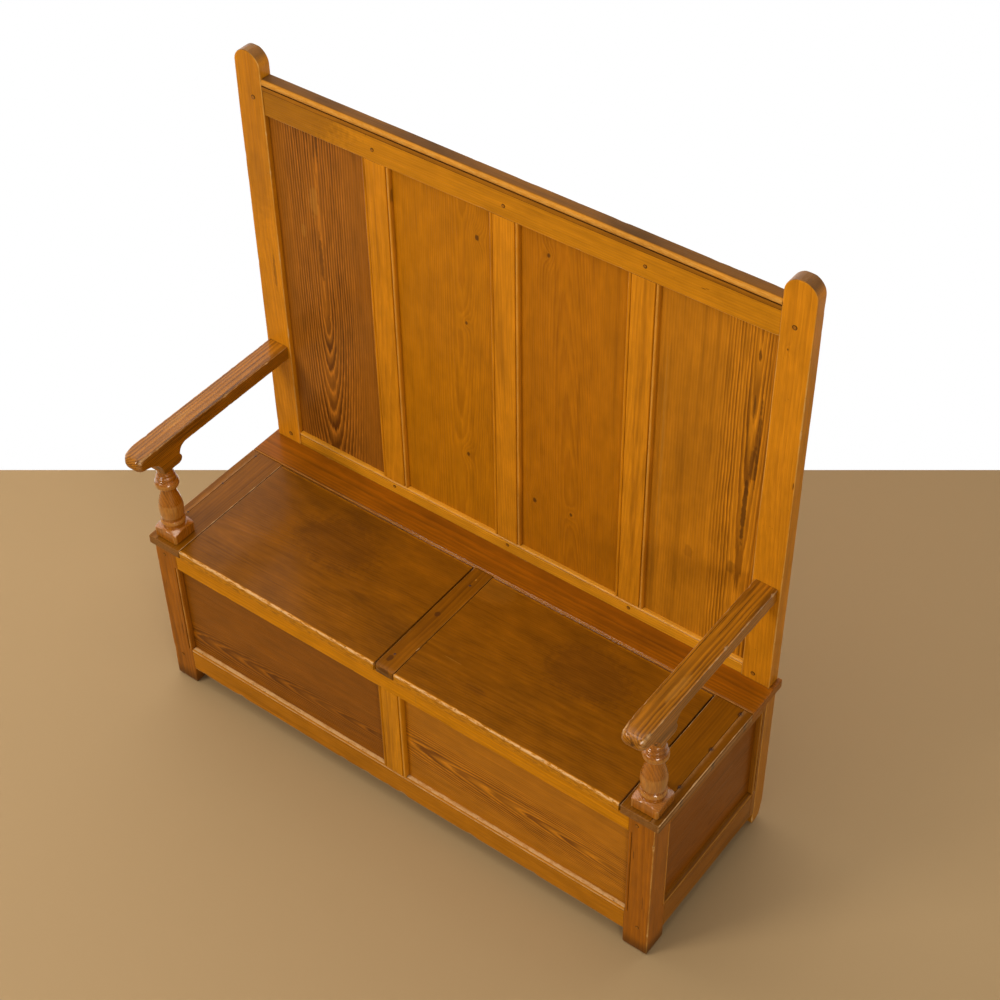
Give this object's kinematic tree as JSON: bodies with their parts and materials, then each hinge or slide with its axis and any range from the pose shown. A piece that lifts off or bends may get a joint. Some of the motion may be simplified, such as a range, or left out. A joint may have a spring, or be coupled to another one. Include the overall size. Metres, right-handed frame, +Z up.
{
  "type": "settle bench",
  "caption": "Pine box settle with a tall panelled back, a storage base under lifting lids, and flat arms on turned supports.",
  "frame": {"origin": "on the floor, in the middle of the settle's length and depth", "axes": "+X to the right as seen from the front, +Y to the back, +Z up"},
  "size_m": [1.28, 0.486, 1.41],
  "materials": {
    "frame_pine": "waxed golden pine, worn at the edges",
    "panel_pine": "waxed reddish brown pine with bold grain",
    "seat_pine": "darker worn wax with soft sheen",
    "arm_pine": "hand-worn wax, open grain on top",
    "turned_pine": "glossy waxed turning",
    "carcass_pine": "bare aged timber, matt",
    "hinge_iron": "dull dark iron"
  },
  "bodies": {
    "frame": {"back_post_right": "frame_pine", "back_post_left": "frame_pine", "front_leg_right": "frame_pine", "front_leg_left": "frame_pine", "top_rail": "frame_pine", "back_bottom_rail": "frame_pine", "box_back_rail": "carcass_pine", "crest_moulding": "frame_pine", "back_muntin_1": "frame_pine", "back_muntin_2": "frame_pine", "back_muntin_3": "frame_pine", "back_panel_1": "panel_pine", "back_panel_2": "panel_pine", "back_panel_3": "panel_pine", "back_panel_4": "panel_pine", "box_back_board_lower": "carcass_pine", "box_back_board_upper": "carcass_pine", "front_top_rail": "frame_pine", "front_bottom_rail": "frame_pine", "front_muntin": "frame_pine", "front_panel_right": "panel_pine", "front_panel_left": "panel_pine", "side_bottom_rail_right": "frame_pine", "side_bottom_rail_left": "frame_pine", "side_top_rail_right": "frame_pine", "side_top_rail_left": "frame_pine", "side_rear_stile_right": "frame_pine", "side_rear_stile_left": "frame_pine", "side_board_lower_right": "panel_pine", "side_board_lower_left": "panel_pine", "side_board_upper_right": "panel_pine", "side_board_upper_left": "panel_pine", "box_floor_board_1": "carcass_pine", "box_floor_board_2": "carcass_pine", "box_floor_board_3": "carcass_pine", "floor_cleat_front": "carcass_pine", "floor_cleat_rear": "carcass_pine", "rear_bearer": "carcass_pine", "centre_bearer": "carcass_pine", "seat_rear_board": "seat_pine", "seat_end_board_right": "seat_pine", "seat_end_board_left": "seat_pine", "seat_centre_board": "seat_pine", "hinge_pin_1": "hinge_iron", "hinge_pin_2": "hinge_iron", "hinge_pin_3": "hinge_iron", "hinge_pin_4": "hinge_iron", "arm_right": "arm_pine", "arm_left": "arm_pine", "arm_support_right": "turned_pine", "arm_support_left": "turned_pine"},
    "left_lid": {"lid_left": "seat_pine", "lid_left_batten_1": "carcass_pine", "lid_left_batten_2": "carcass_pine"},
    "right_lid": {"lid_right": "seat_pine", "lid_right_batten_1": "carcass_pine", "lid_right_batten_2": "carcass_pine"}
  },
  "joints": [
    {"name": "left_lid_hinge", "type": "hinge", "parent": "frame", "child": "left_lid", "pos_m": [-0.2927, 0.1275, 0.429], "axis": [-1, 0, 0], "range_deg": [0, 103]},
    {"name": "right_lid_hinge", "type": "hinge", "parent": "frame", "child": "right_lid", "pos_m": [0.2853, 0.1275, 0.429], "axis": [-1, 0, 0], "range_deg": [0, 103]}
  ]
}
